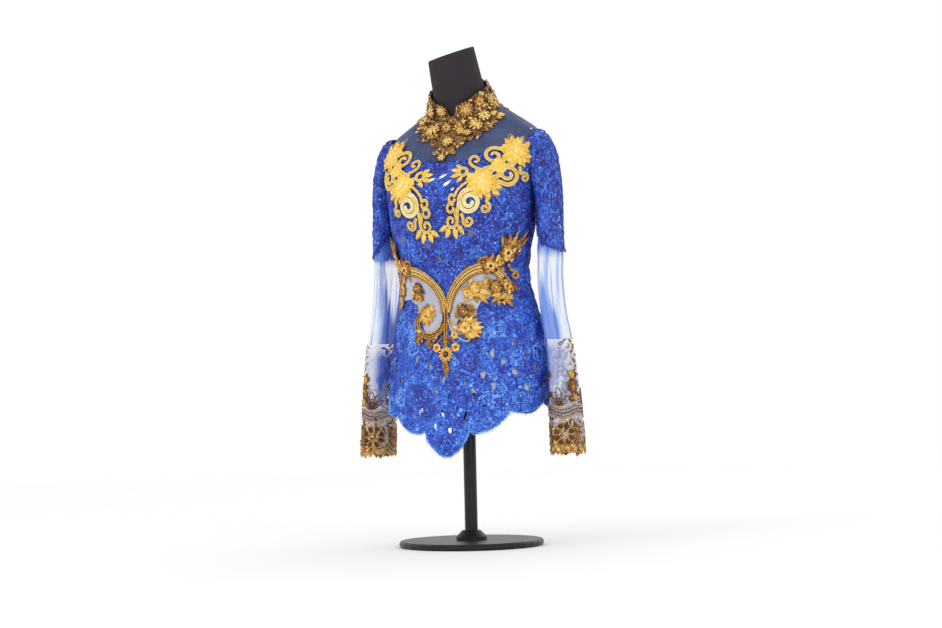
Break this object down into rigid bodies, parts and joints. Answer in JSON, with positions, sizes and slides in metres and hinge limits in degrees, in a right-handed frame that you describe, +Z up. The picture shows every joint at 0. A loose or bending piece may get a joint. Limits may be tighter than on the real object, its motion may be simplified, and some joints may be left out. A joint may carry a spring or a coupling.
{
  "type": "kebaya blouse on a limbless dress form",
  "caption": "Long-sleeved lace kebaya blouse with a sheer yoke, scalloped peplum, stand collar and corded appliques, worn by a limbless dress form on a short pole and round base.",
  "frame": {"origin": "centre of the round base's underside, on the floor", "axes": "+Z up, the wearer faces -Y, the wearer's left is +X"},
  "size_m": [0.457, 0.28, 0.9673],
  "materials": {
    "painted_steel": "satin black paint",
    "form_jersey": "matte black knit",
    "neck_cap": "matte black",
    "lining": "plain satin",
    "blue_lace": "corded and sequined lace",
    "navy_tulle": "sheer net",
    "sheer_tulle": "sheer net",
    "gold_lace": "metallic thread lace",
    "gold_cord": "metallic cord",
    "bronze_cord": "metallic cord",
    "brown_lace": "metallic thread lace on net",
    "pale_net": "sheer net"
  },
  "bodies": {
    "root": {"stand_base": "painted_steel", "stand_pole": "painted_steel", "stand_flange": "painted_steel", "dress_form": "form_jersey", "neck_cap": "neck_cap", "lining_front": "lining", "lining_back": "lining", "bodice_front": "blue_lace", "bodice_back_l": "blue_lace", "bodice_back_r": "blue_lace", "yoke_front": "navy_tulle", "yoke_back_l": "navy_tulle", "yoke_back_r": "navy_tulle", "collar_l": "gold_lace", "collar_r": "gold_lace", "collar_bib": "gold_lace", "chest_applique_l": "gold_cord", "chest_applique_r": "gold_cord", "waist_applique": "bronze_cord", "waist_net_l": "pale_net", "waist_net_r": "pale_net", "sleeve_upper_l": "blue_lace", "sleeve_upper_r": "blue_lace", "sleeve_lower_l": "sheer_tulle", "sleeve_lower_r": "sheer_tulle", "cuff_l": "brown_lace", "cuff_r": "brown_lace"}
  },
  "joints": []
}
